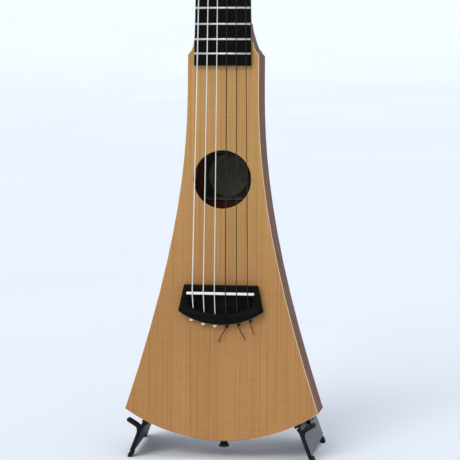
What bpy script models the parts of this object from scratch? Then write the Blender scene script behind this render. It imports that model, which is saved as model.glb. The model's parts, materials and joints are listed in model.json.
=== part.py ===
"""A small travel guitar leaning on a folding A-frame stand.

Metres, +Z up, the soundboard faces -Y. The guitar and the stand are modelled in the guitar's own
frame: x across, y into the body from the soundboard, z up the neck from the saddle. Two empties
lean that frame back and lift it, so that the rubber feet stand on z = 0.
"""

import math

import bmesh
import bpy
from mathutils import Matrix, Vector
from mathutils.geometry import interpolate_bezier

COLLECTION = "guitar_on_stand"
GAP = 0.0003
LEAN = math.radians(5)
SADDLE_HEIGHT = 0.1803
FRAME_Y = -0.0450

SCALE_LENGTH = 0.6096
FRET_COUNT = 15
STRING_COUNT = 6

BODY_DEPTH = 0.050
PLATE_THICKNESS = 0.0025
SIDE_THICKNESS = 0.0022
BOTTOM_ARC_RADIUS = 0.1882
BOTTOM_ARC_CENTRE = 0.0278
BODY_TOP = 0.2880
SIDES_TOP = 0.2620
SOUNDHOLE_RADIUS = 0.0311
SOUNDHOLE_HEIGHT = 0.1220

FRETBOARD_END = 0.2435
FRETBOARD_END_HALF = 0.0307
NUT_HALF = 0.0245
FRETBOARD_THICKNESS = 0.0050
FRET_SLOT_HALF = 0.0006
NUT_LENGTH = 0.0050
NUT_TOP = 0.0068

BRIDGE_HEIGHT = 0.0080
BRIDGE_ARC_RADIUS = 0.0822
BRIDGE_ARC_CENTRE = 0.0485
BRIDGE_CORNER_X = 0.0459
TIE_BLOCK_LENGTH = 0.0110
TROUGH_FLOOR = 0.0045
TROUGH_HALF = 0.0350
SADDLE_HALF = 0.0368
SADDLE_THICKNESS = 0.0028
SADDLE_TOP = 0.0110
SADDLE_SEAT = 0.0045
STRING_PITCH_SADDLE = 0.0120
STRING_PITCH_NUT = 0.00834
STRING_FAN = 1.06
STRING_RADII = (0.00062, 0.00056, 0.00050, 0.00052, 0.00045, 0.00040)

HEAD_TILT = math.radians(12)
HEAD_BASE = SCALE_LENGTH + NUT_LENGTH
HEAD_THICKNESS = 0.0140
HEAD_LENGTH = 0.1120
POST_PLACES = ((0.0220, 0.0250), (0.0195, 0.0570), (0.0170, 0.0890))
POST_RADIUS = 0.0030
POST_FRONT = 0.0130
WORM_RISE = 0.0095
WORM_DEPTH = 0.0185
TUNER_PLATE_THICKNESS = 0.0012
COIL_DEPTH = 0.0090
COIL_TURNS = 2

STAND_INCLINE = math.radians(21)
STAND_THICKNESS = 0.0045
STAND_FRONT = -0.0020
STAND_MIDDLE = 0.0530
STAND_BACK = 0.0950
STAND_SPLAY = 0.055
FORK_X = 0.0878
FORK_Z = -0.1490
FOOT_HEIGHT = 0.0070
FOOT_LENGTHS = {"front": 0.0120, "rear": 0.0100}
FOOT_HALF_WIDTH = 0.0026
ARM_THICKNESS = 0.0046
ARM_DEPTH = 0.0100
REST_X = 0.0827
REST_PAD_THICKNESS = 0.0020
REST_CLEARANCE = 0.0004
HINGE_Z = -0.0220
HINGE_PIN_RADIUS = 0.0030
KNUCKLE_RADIUS = 0.0080
KNUCKLE_SPLITS = (0.0648, 0.0832)


def clear_scene():
    for obj in list(bpy.data.objects):
        bpy.data.objects.remove(obj, do_unlink=True)


def new_collection(name):
    collection = bpy.data.collections.new(name)
    bpy.context.scene.collection.children.link(collection)
    return collection


def new_empty(name, location=(0, 0, 0), tilt=0.0, parent=None):
    empty = bpy.data.objects.new(name, None)
    empty.empty_display_size = 0.03
    empty.location = location
    empty.rotation_euler = (tilt, 0, 0)
    empty.parent = parent
    bpy.data.collections[COLLECTION].objects.link(empty)
    return empty


def new_material(name, colour, roughness, metallic=0.0):
    material = bpy.data.materials.new(name)
    material.use_nodes = True
    shader = material.node_tree.nodes["Principled BSDF"]
    shader.inputs["Base Color"].default_value = (*colour, 1)
    shader.inputs["Roughness"].default_value = roughness
    shader.inputs["Metallic"].default_value = metallic
    material.diffuse_color = (*colour, 1)
    return material


def finish_object(obj, parent, material=None, collection=COLLECTION):
    """Puts an object in its collection, under its empty, with a material of its own."""
    obj.parent = parent
    for owner in obj.users_collection:
        owner.objects.unlink(obj)
    bpy.data.collections[collection].objects.link(obj)
    if material:
        obj.data.materials.clear()
        obj.data.materials.append(material)
    if obj.type == "MESH":
        obj.data.set_sharp_from_angle(angle=math.radians(35))
    return obj


def make_helper(obj, parent):
    """A cutter, or a shape that a Boolean joins to another."""
    finish_object(obj, parent, collection="cutters")
    obj.hide_render = True
    obj.display_type = "WIRE"
    return obj


def mesh_object(name, build):
    """An object whose mesh the function build makes in a bmesh."""
    shape = bmesh.new()
    build(shape)
    mesh = bpy.data.meshes.new(name)
    shape.to_mesh(mesh)
    shape.free()
    mesh.shade_smooth()
    obj = bpy.data.objects.new(name, mesh)
    bpy.context.scene.collection.objects.link(obj)
    return obj


def box(name, low, high):
    """A box between two corners, with its origin at its centre."""
    low, high = Vector(low), Vector(high)
    size = high - low

    def build(shape):
        bmesh.ops.create_cube(shape, size=1, matrix=Matrix.Diagonal((*size, 1)))

    obj = mesh_object(name, build)
    obj.location = (low + high) / 2
    return obj


def cylinder(name, radius, start, end, segments=20):
    """A cylinder from one point to another, with its origin half way."""
    start, end = Vector(start), Vector(end)
    run = end - start

    def build(shape):
        bmesh.ops.create_cone(
            shape, cap_ends=True, segments=segments, radius1=radius, radius2=radius, depth=run.length
        )

    obj = mesh_object(name, build)
    obj.location = (start + end) / 2
    obj.rotation_euler = run.to_track_quat("Z", "Y").to_euler()
    return obj


def turned(name, profile, steps=14):
    """A profile of (radius, height), listed from the top down, turned about the object's Z axis."""

    def build(shape):
        points = [shape.verts.new((radius, 0, height)) for radius, height in profile]
        for first, second in zip(points, points[1:]):
            shape.edges.new((first, second))

    obj = mesh_object(name, build)
    screw = obj.modifiers.new("turn", "SCREW")
    screw.steps = steps
    screw.render_steps = steps
    screw.use_merge_vertices = True
    screw.merge_threshold = 0.00001
    return obj


def plate(name, outlines, front, back):
    """A flat plate across the body: (x, z) outlines filled between two depths, later ones as holes."""
    curve = bpy.data.curves.new(name, "CURVE")
    curve.dimensions = "2D"
    curve.fill_mode = "BOTH"
    curve.extrude = (back - front) / 2
    for outline in outlines:
        spline = curve.splines.new("POLY")
        spline.points.add(len(outline) - 1)
        for point, (x, z) in zip(spline.points, outline):
            point.co = (x, z, 0, 1)
        spline.use_cyclic_u = True
    guide = bpy.data.objects.new(name, curve)
    bpy.context.scene.collection.objects.link(guide)
    guide.location = (0, (front + back) / 2, 0)
    guide.rotation_euler = (math.pi / 2, 0, 0)
    return as_mesh(guide)


def tube(name, points, radius):
    curve = bpy.data.curves.new(name, "CURVE")
    curve.dimensions = "3D"
    curve.bevel_depth = radius
    curve.bevel_resolution = 2
    curve.use_fill_caps = True
    spline = curve.splines.new("POLY")
    spline.points.add(len(points) - 1)
    for point, place in zip(spline.points, points):
        point.co = (*place, 1)
    obj = bpy.data.objects.new(name, curve)
    bpy.context.scene.collection.objects.link(obj)
    return obj


def as_mesh(guide):
    """The curve object as a welded mesh object of the same name and place."""
    bpy.context.view_layer.update()
    evaluated = guide.evaluated_get(bpy.context.evaluated_depsgraph_get())
    mesh = bpy.data.meshes.new_from_object(evaluated)
    shape = bmesh.new()
    shape.from_mesh(mesh)
    bmesh.ops.remove_doubles(shape, verts=shape.verts, dist=0.00001)
    shape.to_mesh(mesh)
    shape.free()
    name = guide.name
    matrix = guide.matrix_world.copy()
    bpy.data.objects.remove(guide)
    obj = bpy.data.objects.new(name, mesh)
    obj.matrix_world = matrix
    bpy.context.scene.collection.objects.link(obj)
    return obj


def boolean(obj, helper, operation="DIFFERENCE"):
    modifier = obj.modifiers.new(f"{operation.lower()} {helper.name}", "BOOLEAN")
    modifier.object = helper
    modifier.operation = operation
    modifier.solver = "EXACT"


def bevel(obj, width, segments=2, angle=40):
    modifier = obj.modifiers.new("soft edges", "BEVEL")
    modifier.width = width
    modifier.segments = segments
    modifier.limit_method = "ANGLE"
    modifier.angle_limit = math.radians(angle)


def curve_points(corners, count):
    """Points along one cubic curve through (x, z) corners, the first one left out."""
    return [(p.x, p.y) for p in interpolate_bezier(*(Vector(c) for c in corners), count)][1:]


def half_outline():
    """The right half of the body's outline in (x, z), from the middle of the bottom to the top."""
    corner_start = 0.1027
    sweep = math.asin(corner_start / BOTTOM_ARC_RADIUS)
    half = []
    for step in range(9):
        angle = sweep * step / 8
        half.append(
            (BOTTOM_ARC_RADIUS * math.sin(angle), BOTTOM_ARC_CENTRE - BOTTOM_ARC_RADIUS * math.cos(angle))
        )
    corner = (0.1062, -0.1283)
    half += curve_points((half[-1], corner, corner, (0.1044, -0.1250)), 4)
    half += curve_points(((0.1054, -0.1278), (0.0327, 0.0908), (0.0389, 0.1824), (0.0384, 0.2530)), 15)
    half += curve_points((half[-1], (0.0384, 0.2555), (0.0384, 0.2555), (0.0366, 0.2572)), 4)
    return half + curve_points((half[-1], (0.0325, 0.2615), (0.0308, 0.2700), (0.0305, BODY_TOP)), 7)


def body_half_width(height):
    """Half the body's width at a height above its lower corners."""
    half = half_outline()
    for (x, z), (next_x, next_z) in zip(half, half[1:]):
        if z <= height <= next_z:
            return x + (next_x - x) * (height - z) / (next_z - z)
    return half[-1][0]


def body_outline(top):
    """The body's outline in (x, z), closed straight across at the top."""
    half = [point for point in half_outline() if point[1] < top] + [(body_half_width(top), top)]
    return half + [(-x, z) for x, z in reversed(half[1:])]


def circle_outline(centre_x, centre_z, radius, count=40):
    turns = [2 * math.pi * step / count for step in range(count)]
    return [(centre_x + radius * math.cos(a), centre_z + radius * math.sin(a)) for a in turns]


def ring_wall(name, outline, front, back, thickness):
    """A wall that stands on an outline and is thickened inwards."""

    def build(shape):
        near = [shape.verts.new((x, front, z)) for x, z in outline]
        far = [shape.verts.new((x, back, z)) for x, z in outline]
        for index in range(len(outline)):
            after = (index + 1) % len(outline)
            shape.faces.new((near[index], near[after], far[after], far[index]))
        bmesh.ops.recalc_face_normals(shape, faces=shape.faces)

    obj = mesh_object(name, build)
    solidify = obj.modifiers.new("thickness", "SOLIDIFY")
    solidify.thickness = thickness
    solidify.offset = -1
    solidify.use_even_offset = True
    return obj


def make_body(frame, woods):
    hole = circle_outline(0, SOUNDHOLE_HEIGHT, SOUNDHOLE_RADIUS)
    soundboard = plate("soundboard", [body_outline(BODY_TOP), hole], 0, PLATE_THICKNESS)
    finish_object(soundboard, frame, woods["spruce"])
    outline = body_outline(SIDES_TOP)
    inner_front = PLATE_THICKNESS + GAP
    inner_back = BODY_DEPTH - PLATE_THICKNESS - GAP
    sides = ring_wall("sides", outline, inner_front, inner_back, SIDE_THICKNESS)
    finish_object(sides, frame, woods["mahogany"])
    back = plate("back_plate", [outline], BODY_DEPTH - PLATE_THICKNESS, BODY_DEPTH)
    finish_object(back, frame, woods["mahogany"])

    wall = SIDE_THICKNESS + GAP
    neck_block = box(
        "neck_block", (-0.026, inner_front + GAP, 0.240), (0.026, inner_back - GAP, SIDES_TOP - wall)
    )
    finish_object(neck_block, frame, woods["mahogany"])
    end_block = box("end_block", (-0.024, inner_front + GAP, -0.156), (0.024, inner_back - GAP, -0.143))
    finish_object(end_block, frame, woods["mahogany"])
    make_end_pin(frame, sides, end_block, woods["black"])

    brace_depth = 0.0100
    brace_half_width = 0.0035
    for name, height, half_length in (("upper_top_brace", 0.170, 0.034), ("lower_top_brace", 0.062, 0.049)):
        low = (-half_length, inner_front, height - brace_half_width)
        high = (half_length, inner_front + brace_depth, height + brace_half_width)
        brace = box(name, low, high)
        bevel(brace, 0.0015, segments=1)
        finish_object(brace, frame, woods["spruce"])


def make_end_pin(frame, sides, end_block, black):
    """The strap button: a waisted knob whose peg goes through the side into the end block."""
    peg_radius = 0.0032
    profile = [
        (0, 0.0145),
        (peg_radius, 0.0145),
        (peg_radius, -0.0006),
        (0.0045, -0.0006),
        (0.0038, -0.0030),
        (0.0042, -0.0056),
        (0.0060, -0.0080),
        (0.0060, -0.0094),
        (0.0040, -0.0104),
        (0, -0.0106),
    ]
    seat = (0, BODY_DEPTH / 2, BOTTOM_ARC_CENTRE - BOTTOM_ARC_RADIUS)
    end_pin = turned("end_pin", profile, steps=20)
    end_pin.location = seat
    finish_object(end_pin, frame, black)
    below = (0, BODY_DEPTH / 2, seat[2] - 0.01)
    above = (0, BODY_DEPTH / 2, -0.130)
    for owner in (sides, end_block):
        bore = cylinder(f"{owner.name}_pin_bore", peg_radius + GAP, below, above)
        boolean(owner, make_helper(bore, frame))


def board_half_width(height):
    """Half the fretboard's width at a height up the neck."""
    share = (height - FRETBOARD_END) / (SCALE_LENGTH - FRETBOARD_END)
    return FRETBOARD_END_HALF + (NUT_HALF - FRETBOARD_END_HALF) * share


def fret_height(number):
    return SCALE_LENGTH * 2 ** (-number / 12)


def loft(name, rings):
    """A closed skin through rings of points, with an end face on the first and the last."""

    def build(shape):
        rows = [[shape.verts.new(point) for point in ring] for ring in rings]
        for lower, upper in zip(rows, rows[1:]):
            for index in range(len(lower)):
                after = (index + 1) % len(lower)
                shape.faces.new((lower[index], lower[after], upper[after], upper[index]))
        shape.faces.new(rows[0])
        shape.faces.new(rows[-1])
        bmesh.ops.recalc_face_normals(shape, faces=shape.faces)

    return mesh_object(name, build)


def neck_ring(height, half_width, front, back, roundness):
    """A D-shaped section: flat at the front, round behind. A higher roundness value is squarer."""
    steps = 12
    ring = []
    for step in range(steps + 1):
        angle = math.pi * step / steps
        across = math.copysign(abs(math.cos(angle)) ** (2 / roundness), math.cos(angle))
        deep = math.sin(angle) ** (2 / roundness)
        ring.append((half_width * across, front + 0.0012 + (back - front - 0.0012) * deep, height))
    ring.append((-half_width, front, height))
    ring.append((half_width, front, height))
    return ring


def make_neck(frame, head, mahogany):
    """The neck, from its heel under the soundboard's top to the headstock."""
    heel = (
        (SIDES_TOP + GAP, 0.0498, 14),
        (0.2680, 0.0482, 9),
        (0.2735, 0.0420, 7),
        (0.2790, 0.0335, 5),
        (0.2840, 0.0275, 3.8),
        (BODY_TOP + GAP, 0.0245, 2.8),
    )
    shaft = (
        (BODY_TOP + 2 * GAP, 0.0244, 2.8),
        (0.2960, 0.0230, 2.5),
        (0.3100, 0.0220, 2.3),
        (0.3400, 0.0215, 2.3),
        (0.4600, 0.0208, 2.2),
        (0.5700, 0.0192, 2.2),
        (HEAD_BASE - 0.0120, 0.0186, 2.2),
    )
    under = PLATE_THICKNESS + GAP
    rings = [neck_ring(z, body_half_width(z), under, back, power) for z, back, power in heel]
    rings += [neck_ring(z, board_half_width(z) - 0.0002, 0, back, power) for z, back, power in shaft]
    rings.append(neck_ring(HEAD_BASE, NUT_HALF - 0.0002, 0, 0.0190, 2.6))
    rings.append(neck_ring(HEAD_BASE + 0.0020, NUT_HALF - 0.0015, 0.0016, 0.0185, 2.8))
    rings.append(neck_ring(HEAD_BASE + 0.0150, 0.0200, 0.0042, 0.0168, 3.0))
    neck = loft("neck", rings)
    finish_object(neck, frame, mahogany)

    half = [(0.0240, 0.0004), (0.0243, 0.0050)]
    half += curve_points((half[-1], (0.0250, 0.0110), (0.0330, 0.0080), (0.0335, 0.0170)), 8)
    half += curve_points((half[-1], (0.0335, 0.0400), (0.0270, 0.0700), (0.0268, 0.1010)), 6)
    half += curve_points((half[-1], (0.0267, 0.1110), (0.0160, HEAD_LENGTH), (0, HEAD_LENGTH)), 7)
    outline = half + [(-x, z) for x, z in reversed(half[:-1])]
    paddle = plate("head_paddle", [outline], 0, HEAD_THICKNESS)
    boolean(neck, make_helper(paddle, head), "UNION")
    for side in (-1, 1):
        for number, (x, z) in enumerate(POST_PLACES, 1):
            ends = ((side * x, -0.01, z), (side * x, 0.03, z))
            bore = cylinder(f"head_bore_{'LR'[side > 0]}{number}", POST_RADIUS + GAP, *ends)
            boolean(neck, make_helper(bore, head))


def make_fretboard(frame, black, nickel, bone):
    end_half = board_half_width(FRETBOARD_END)
    outline = [
        (-end_half, FRETBOARD_END),
        (end_half, FRETBOARD_END),
        (NUT_HALF, SCALE_LENGTH - GAP),
        (-NUT_HALF, SCALE_LENGTH - GAP),
    ]
    fretboard = plate("fretboard", [outline], -FRETBOARD_THICKNESS, -GAP)
    finish_object(fretboard, frame, black)
    for number in range(1, FRET_COUNT + 1):
        height = fret_height(number)
        low = (-0.05, -0.0060, height - FRET_SLOT_HALF)
        slot = box(f"fret_slot_{number:02d}", low, (0.05, -0.0030, height + FRET_SLOT_HALF))
        boolean(fretboard, make_helper(slot, frame))
        fret = make_fret(f"fret_{number:02d}", height)
        finish_object(fret, frame, nickel)

    low = (-NUT_HALF, -NUT_TOP, SCALE_LENGTH)
    nut = box("nut", low, (NUT_HALF, -GAP, HEAD_BASE - 0.0002))
    bevel(nut, 0.0010)
    finish_object(nut, frame, bone)


def make_fret(name, height):
    """Fret wire: a domed crown with a tang in the board's slot, as wide as the board."""
    crown_half = 0.0011
    crown_rise = 0.0010
    tang_half = FRET_SLOT_HALF - GAP
    board_top = FRETBOARD_THICKNESS + GAP
    profile = [(-tang_half, 0.0034), (-tang_half, board_top)]
    for step in range(5):
        angle = math.pi * (1 - step / 4)
        profile.append((crown_half * math.cos(angle), board_top + crown_rise * math.sin(angle)))
    profile += [(tang_half, board_top), (tang_half, 0.0034)]
    half_length = board_half_width(height) - 0.0002
    rings = [[(x, -rise, height + along) for along, rise in profile] for x in (-half_length, half_length)]
    return loft(name, rings)


def string_x(index, pitch):
    return (index - (STRING_COUNT - 1) / 2) * pitch


def bridge_arc(radius, half_width, count):
    """Points from left to right on a circle round the centre of the bridge's lower edge."""
    sweep = math.asin(half_width / radius)
    angles = [sweep * (2 * step / count - 1) for step in range(count + 1)]
    return [(radius * math.sin(a), BRIDGE_ARC_CENTRE - radius * math.cos(a)) for a in angles]


def make_bridge(frame, black, bone):
    """The bridge: straight above, an arc below, a saddle slot, a trough and a raised tie block."""
    outline = [(0.03985, 0.0087), (-0.03985, 0.0087)]
    outline += bridge_arc(BRIDGE_ARC_RADIUS, BRIDGE_CORNER_X, 12)
    bridge = plate("bridge", [outline], -BRIDGE_HEIGHT, -GAP)
    bevel(bridge, 0.0012)
    finish_object(bridge, frame, black)
    slot_half = SADDLE_THICKNESS / 2 + GAP
    above = -BRIDGE_HEIGHT - 0.002
    low = (-SADDLE_HALF - GAP, above, -slot_half)
    slot = box("saddle_slot", low, (SADDLE_HALF + GAP, -SADDLE_SEAT, slot_half))
    boolean(bridge, make_helper(slot, frame))
    trough_top = -0.0036
    outline = [(TROUGH_HALF, trough_top), (-TROUGH_HALF, trough_top)]
    outline += bridge_arc(BRIDGE_ARC_RADIUS - TIE_BLOCK_LENGTH, TROUGH_HALF, 12)
    trough = plate("bridge_trough", [outline], above, -TROUGH_FLOOR)
    boolean(bridge, make_helper(trough, frame))
    for index in range(STRING_COUNT):
        entry, exit_point = string_hole(index)
        run = (exit_point - entry).normalized() * 0.004
        radius = STRING_RADII[index] + GAP
        bore = cylinder(f"string_bore_{index + 1}", radius, entry - run, exit_point + run, segments=10)
        boolean(bridge, make_helper(bore, frame))

    low = (-SADDLE_HALF, -SADDLE_TOP, -SADDLE_THICKNESS / 2)
    saddle = box("saddle", low, (SADDLE_HALF, -SADDLE_SEAT - GAP, SADDLE_THICKNESS / 2))
    bevel(saddle, 0.0009)
    finish_object(saddle, frame, bone)


def string_hole(index):
    """Where a string goes into the tie block and comes out of the bridge's lower edge."""
    entry_x = string_x(index, STRING_PITCH_SADDLE)
    exit_x = entry_x * STRING_FAN
    inner_radius = BRIDGE_ARC_RADIUS - TIE_BLOCK_LENGTH
    entry_z = BRIDGE_ARC_CENTRE - math.sqrt(inner_radius**2 - entry_x**2)
    exit_z = BRIDGE_ARC_CENTRE - math.sqrt(BRIDGE_ARC_RADIUS**2 - exit_x**2)
    return Vector((entry_x, -0.0060, entry_z)), Vector((exit_x, -0.0036, exit_z))


def head_point(x, y, z):
    """A point of the headstock's frame in the guitar's frame."""
    return Matrix.Rotation(-HEAD_TILT, 3, "X") @ Vector((x, y, z)) + Vector((0, 0, HEAD_BASE))


def make_strings(frame, wound, nylon):
    """Each string: knot below the bridge, through it, over saddle and nut, round its post."""
    for index, radius in enumerate(STRING_RADII):
        lift = radius + GAP
        side = -1 if index < 3 else 1
        post_x, post_z = POST_PLACES[index if index < 3 else 5 - index]
        entry, exit_point = string_hole(index)
        run = (exit_point - entry).normalized()
        saddle_x = string_x(index, STRING_PITCH_SADDLE)
        nut_x = string_x(index, STRING_PITCH_NUT)
        points = [exit_point + run * 0.0024, entry - run * 0.0008]
        edge = SADDLE_THICKNESS / 2
        points.append(Vector((saddle_x, -SADDLE_TOP - lift + 0.0004, -edge - lift * 0.4)))
        points.append(Vector((saddle_x, -SADDLE_TOP - lift, 0)))
        points.append(Vector((nut_x, -NUT_TOP - lift, SCALE_LENGTH)))
        points.append(Vector((nut_x, -NUT_TOP - lift, SCALE_LENGTH + 0.0038)))
        winding = POST_RADIUS + lift
        pitch = 2 * radius + GAP
        steps = 9 * COIL_TURNS
        start_angle = 0 if side < 0 else math.pi
        for step in range(steps + 1):
            turn = 2 * math.pi * COIL_TURNS * step / steps
            angle = start_angle - side * turn
            depth = -COIL_DEPTH + pitch * turn / (2 * math.pi)
            x = side * post_x + winding * math.cos(angle)
            points.append(head_point(x, depth, post_z + winding * math.sin(angle)))
        string = tube(f"string_{index + 1}", points, radius)
        finish_object(string, frame, wound if index < 3 else nylon)


def make_tuners(head, steel, pearl):
    """Six geared tuners: a post with its wheel, and a knob whose shaft carries the worm."""
    plate_front = HEAD_THICKNESS + GAP
    plate_back = plate_front + TUNER_PLATE_THICKNESS
    wheel_front = plate_back + 0.0010
    wheel_back = wheel_front + 0.0040
    post_profile = [
        (0, POST_FRONT),
        (POST_RADIUS - 0.0006, POST_FRONT),
        (POST_RADIUS, POST_FRONT - 0.0006),
        (POST_RADIUS, -wheel_front),
        (0.0060, -wheel_front),
        (0.0060, -wheel_back),
        (0.0020, -wheel_back),
        (0.0020, -wheel_back - 0.0008),
        (0, -wheel_back - 0.0008),
    ]
    knob_profile = [
        (0, 0.0360),
        (0.0040, 0.0358),
        (0.0062, 0.0335),
        (0.0068, 0.0290),
        (0.0058, 0.0250),
        (0.0034, 0.0232),
        (0.0019, 0.0226),
        (0.0019, 0.0095),
        (0.0030, 0.0095),
        (0.0030, 0.0020),
        (0.0019, 0.0020),
        (0.0019, 0.0000),
        (0, 0.0000),
    ]
    for side, label in ((-1, "left"), (1, "right")):
        low = min(side * 0.0120, side * 0.0270)
        outline = [(low, 0.014), (low + 0.015, 0.014), (low + 0.015, 0.106), (low, 0.106)]
        backing = plate(f"{label}_tuner_plate", [outline], plate_front, plate_back)
        finish_object(backing, head, steel)
        for number, (x, z) in enumerate(POST_PLACES, 1):
            ends = ((side * x, 0.0, z), (side * x, 0.03, z))
            bore = cylinder(f"{label}_plate_bore_{number}", POST_RADIUS + GAP, *ends)
            boolean(backing, make_helper(bore, head))
            shaft_z = z + WORM_RISE
            lug_x = (side * 0.0238, side * 0.0268)
            low = (min(lug_x), plate_back - 0.0006, shaft_z - 0.0030)
            lug = box(f"{label}_lug_{number}", low, (max(lug_x), WORM_DEPTH + 0.0032, shaft_z + 0.0030))
            boolean(backing, make_helper(lug, head), "UNION")
            ends = ((side * 0.02, WORM_DEPTH, shaft_z), (side * 0.03, WORM_DEPTH, shaft_z))
            eye = cylinder(f"{label}_eye_{number}", 0.0019 + GAP, *ends, segments=14)
            boolean(backing, make_helper(eye, head))

            post = turned(f"{label}_post_{number}", post_profile)
            post.location = (side * x, 0, z)
            post.rotation_euler = (math.pi / 2, 0, 0)
            finish_object(post, head, steel)
            knob = turned(f"{label}_tuning_knob_{number}", knob_profile)
            knob.location = (side * 0.0140, WORM_DEPTH, shaft_z)
            knob.rotation_euler = (0, side * math.pi / 2, 0)
            finish_object(knob, head, pearl)


def floor_z(y):
    """The floor's height in the leaned frame at a depth."""
    return (y * math.sin(LEAN) - SADDLE_HEIGHT) / math.cos(LEAN)


def leg_x(z):
    """The straight lower leg's distance from the middle at a height."""
    return FORK_X + math.tan(STAND_INCLINE) * (FORK_Z - z)


def splayed(x, y, z):
    """The lower leg stands a little wider at the back, fading out above the fork."""
    share = min(max((-0.060 - z) / 0.080, 0), 1)
    return x + STAND_SPLAY * max(y, 0) * share


def arch_path():
    """The upper leg in (x, z), from the fork up behind the body to the hinge."""
    bend = -0.0950
    path = [(FORK_X, FORK_Z), (leg_x(-0.1200), -0.1200), (leg_x(bend), bend)]
    return path + curve_points((path[-1], (0.0500, -0.0550), (0.0300, -0.0300), (0.0060, -0.0240)), 9)


def leg_wall(name, side, knuckle_columns):
    """One bent leg plate: full depth under the body, only behind it above, notched at the hinge."""
    depths = (STAND_FRONT, STAND_MIDDLE, *KNUCKLE_SPLITS, STAND_BACK)
    path = arch_path()
    rows = [[(leg_x(floor_z(y) + FOOT_HEIGHT), y, floor_z(y) + FOOT_HEIGHT) for y in depths]]
    rows += [[(x, y, z) for y in depths] for x, z in path]
    notch_row = len(rows) - 4

    def build(shape):
        grid = [[shape.verts.new((side * splayed(x, y, z), y, z)) for x, y, z in row] for row in rows]
        for row in range(len(rows) - 1):
            for column in range(len(depths) - 1):
                if row > 0 and column == 0:
                    continue
                if row >= notch_row and column not in knuckle_columns:
                    continue
                corners = (grid[row][column], grid[row][column + 1])
                shape.faces.new((*corners, grid[row + 1][column + 1], grid[row + 1][column]))
        loose = [vertex for vertex in shape.verts if not vertex.link_faces]
        bmesh.ops.delete(shape, geom=loose, context="VERTS")
        bmesh.ops.recalc_face_normals(shape, faces=shape.faces)

    leg = mesh_object(name, build)
    solidify = leg.modifiers.new("thickness", "SOLIDIFY")
    solidify.thickness = STAND_THICKNESS
    solidify.offset = 0
    solidify.use_even_offset = True
    return leg


def make_leg(frame, label, side, knuckle_columns, steel, rubber):
    leg = leg_wall(f"{label}_leg", side, knuckle_columns)
    finish_object(leg, frame, steel)

    shelf_back = STAND_MIDDLE + 0.0010
    shelf = strip(f"{label}_shelf", side, shelf_path(), STAND_FRONT, shelf_back, STAND_THICKNESS)
    bevel(shelf, 0.0012)
    boolean(leg, make_helper(shelf, frame), "UNION")
    arm_front = STAND_FRONT - 0.0005
    arm = strip(f"{label}_arm", side, arm_path(), arm_front, arm_front + ARM_DEPTH, ARM_THICKNESS)
    bevel(arm, 0.0020)
    boolean(leg, make_helper(arm, frame), "UNION")
    pad = make_rest_pad(f"{label}_rest_pad", side)
    finish_object(pad, frame, rubber)

    edges = (STAND_MIDDLE, *KNUCKLE_SPLITS, STAND_BACK)
    for column in knuckle_columns:
        ends = ((0, edges[column - 1] + GAP, HINGE_Z), (0, edges[column] - GAP, HINGE_Z))
        knuckle = cylinder(f"{label}_knuckle_{column}", KNUCKLE_RADIUS, *ends)
        boolean(leg, make_helper(knuckle, frame), "UNION")
    ends = ((0, 0.04, HINGE_Z), (0, 0.11, HINGE_Z))
    bore = cylinder(f"{label}_hinge_bore", HINGE_PIN_RADIUS + GAP, *ends)
    boolean(leg, make_helper(bore, frame))

    pad_front = BODY_DEPTH + 0.0004
    back_pad = strip(f"{label}_back_pad", side, arch_path()[3:9], pad_front, STAND_MIDDLE - GAP, 0.0070)
    finish_object(back_pad, frame, rubber)


def strip(name, side, path, front, back, thickness):
    """A bent strip that follows an (x, z) path, mirrored for the left side."""

    def build(shape):
        near = [shape.verts.new((side * x, front, z)) for x, z in path]
        far = [shape.verts.new((side * x, back, z)) for x, z in path]
        for index in range(len(path) - 1):
            shape.faces.new((near[index], near[index + 1], far[index + 1], far[index]))

    obj = mesh_object(name, build)
    solidify = obj.modifiers.new("thickness", "SOLIDIFY")
    solidify.thickness = thickness
    solidify.offset = 0
    solidify.use_even_offset = True
    return obj


def arc_place(x, below):
    """A point below the body's bottom arc, and the arc's slope there."""
    angle = math.asin(x / BOTTOM_ARC_RADIUS)
    reach = BOTTOM_ARC_RADIUS + below
    place = (reach * math.sin(angle), BOTTOM_ARC_CENTRE - reach * math.cos(angle))
    return place, angle


def shelf_path():
    """The fork's inner arm in (x, z), which runs back under the body and carries the rest pad."""
    tip, _ = arc_place(REST_X, REST_CLEARANCE + REST_PAD_THICKNESS + 3 * GAP)
    return [(FORK_X + 0.0026, FORK_Z + 0.0004), (FORK_X, FORK_Z), tip]


def arm_path():
    """The fork's outer arm in (x, z): a short prong at the front that curves down into the leg."""
    bend_start = (0.0922, -0.1459)
    bend_end = (leg_x(-0.1560), -0.1560)
    return [(0.1030, -0.1392), bend_start] + curve_points(
        (bend_start, (0.0903, -0.1476), (0.0893, -0.1500), bend_end), 5
    )


def make_rest_pad(name, side):
    """The rubber block under the body's edge, square to its bottom arc."""
    (x, z), slope = arc_place(REST_X, REST_CLEARANCE + REST_PAD_THICKNESS / 2)
    half_length = 0.0034
    half = REST_PAD_THICKNESS / 2
    pad = box(name, (-half_length, STAND_FRONT + 0.0004, -half), (half_length, BODY_DEPTH, half))
    pad.location = (side * x, pad.location.y, z)
    pad.rotation_euler = (0, -side * slope, 0)
    bevel(pad, 0.0006)
    return pad


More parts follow.
